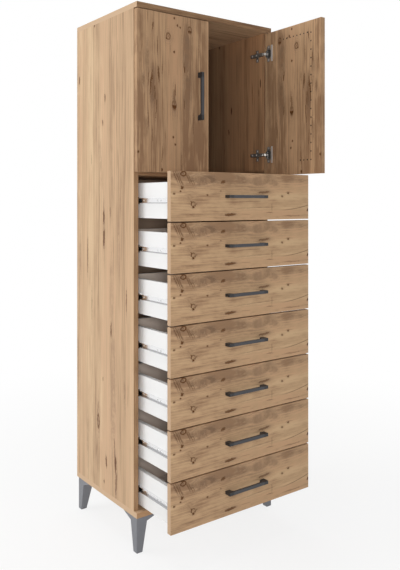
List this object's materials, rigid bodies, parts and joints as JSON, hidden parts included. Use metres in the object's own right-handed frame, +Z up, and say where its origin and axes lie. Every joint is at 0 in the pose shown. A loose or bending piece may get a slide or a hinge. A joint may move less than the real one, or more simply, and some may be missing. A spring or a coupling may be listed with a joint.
{
  "type": "cabinet with drawers",
  "caption": "Tall narrow cabinet on corner legs: a stack of pull-out drawers on metal runners below a cupboard with a pair of doors on concealed hinges.",
  "frame": {"origin": "on the floor, under the middle of the carcass", "axes": "+X to the right seen from the front, +Y to the back, +Z up"},
  "size_m": [0.6161, 0.7235, 1.83],
  "materials": {
    "decor_board": "matt printed wood decor on chipboard, grain upright",
    "decor_front": "matt printed wood decor on chipboard, grain level",
    "back_board": "thin fibreboard, printed on its face",
    "white_board": "smooth white melamine on chipboard",
    "white_hardboard": "white lacquered hardboard",
    "handle_metal": "satin anthracite lacquer",
    "rail_steel": "bright zinc plate",
    "hinge_steel": "bright nickel plate",
    "leg_plastic": "fine satin grey moulding",
    "fitting_metal": "zinc plate",
    "dowel_wood": "bare beech"
  },
  "bodies": {
    "carcass": {"side_panel_left": "decor_board", "side_panel_right": "decor_board", "top_panel": "decor_board", "bottom_panel": "decor_board", "fixed_shelf": "decor_board", "back_panel": "back_board", "leg_front_left": "leg_plastic", "leg_front_right": "leg_plastic", "leg_rear_left": "leg_plastic", "leg_rear_right": "leg_plastic", "leg_screws": "fitting_metal", "cabinet_rails": "rail_steel", "cam_bolts": "fitting_metal", "cam_locks": "fitting_metal", "dowels": "dowel_wood", "hinge_plates": "hinge_steel", "hinge_arms": "hinge_steel"},
    "drawer_1": {"drawer_1_front": "decor_front", "drawer_1_box": "white_board", "drawer_1_bottom": "white_hardboard", "drawer_1_handle": "handle_metal", "drawer_1_rails": "rail_steel"},
    "drawer_2": {"drawer_2_front": "decor_front", "drawer_2_box": "white_board", "drawer_2_bottom": "white_hardboard", "drawer_2_handle": "handle_metal", "drawer_2_rails": "rail_steel"},
    "drawer_3": {"drawer_3_front": "decor_front", "drawer_3_box": "white_board", "drawer_3_bottom": "white_hardboard", "drawer_3_handle": "handle_metal", "drawer_3_rails": "rail_steel"},
    "drawer_4": {"drawer_4_front": "decor_front", "drawer_4_box": "white_board", "drawer_4_bottom": "white_hardboard", "drawer_4_handle": "handle_metal", "drawer_4_rails": "rail_steel"},
    "drawer_5": {"drawer_5_front": "decor_front", "drawer_5_box": "white_board", "drawer_5_bottom": "white_hardboard", "drawer_5_handle": "handle_metal", "drawer_5_rails": "rail_steel"},
    "drawer_6": {"drawer_6_front": "decor_front", "drawer_6_box": "white_board", "drawer_6_bottom": "white_hardboard", "drawer_6_handle": "handle_metal", "drawer_6_rails": "rail_steel"},
    "drawer_7": {"drawer_7_front": "decor_front", "drawer_7_box": "white_board", "drawer_7_bottom": "white_hardboard", "drawer_7_handle": "handle_metal", "drawer_7_rails": "rail_steel"},
    "right_door_leaf": {"right_door": "decor_board", "right_door_handle": "handle_metal", "right_hinge_cups": "hinge_steel"},
    "right_links": {"right_hinge_links": "hinge_steel"},
    "left_door_leaf": {"left_door": "decor_board", "left_door_handle": "handle_metal", "left_hinge_cups": "hinge_steel"},
    "left_links": {"left_hinge_links": "hinge_steel"}
  },
  "joints": [
    {"name": "drawer_1_slide", "type": "slide", "parent": "carcass", "child": "drawer_1", "axis": [0, -1, 0], "range_m": [-0.198, 0.062]},
    {"name": "drawer_2_slide", "type": "slide", "parent": "carcass", "child": "drawer_2", "axis": [0, -1, 0], "range_m": [-0.198, 0.062]},
    {"name": "drawer_3_slide", "type": "slide", "parent": "carcass", "child": "drawer_3", "axis": [0, -1, 0], "range_m": [-0.198, 0.062]},
    {"name": "drawer_4_slide", "type": "slide", "parent": "carcass", "child": "drawer_4", "axis": [0, -1, 0], "range_m": [-0.198, 0.062]},
    {"name": "drawer_5_slide", "type": "slide", "parent": "carcass", "child": "drawer_5", "axis": [0, -1, 0], "range_m": [-0.198, 0.062]},
    {"name": "drawer_6_slide", "type": "slide", "parent": "carcass", "child": "drawer_6", "axis": [0, -1, 0], "range_m": [-0.198, 0.062]},
    {"name": "drawer_7_slide", "type": "slide", "parent": "carcass", "child": "drawer_7", "axis": [0, -1, 0], "range_m": [-0.198, 0.062]},
    {"name": "right_link_pivot", "type": "hinge", "parent": "carcass", "child": "right_links", "pos_m": [0.27, -0.203, 1.5365], "axis": [0, 0, 1], "range_deg": [-6.5, 34.44]},
    {"name": "right_door_hinge", "type": "hinge", "parent": "right_links", "child": "right_door_leaf", "pos_m": [0.285, -0.21637, 1.5365], "axis": [0, 0, 1], "range_deg": [-122.84, 22.9]},
    {"name": "left_link_pivot", "type": "hinge", "parent": "carcass", "child": "left_links", "pos_m": [-0.27, -0.203, 1.5365], "axis": [0, 0, -1], "range_deg": [-40.85, 0.1]},
    {"name": "left_door_hinge", "type": "hinge", "parent": "left_links", "child": "left_door_leaf", "pos_m": [-0.28992, -0.20558, 1.5365], "axis": [0, 0, -1], "range_deg": [0, 145.75]}
  ],
  "couplings": [
    {"joint": "right_link_pivot", "follows": "right_door_hinge", "ratio": -0.27957},
    {"joint": "left_link_pivot", "follows": "left_door_hinge", "ratio": -0.27957}
  ]
}
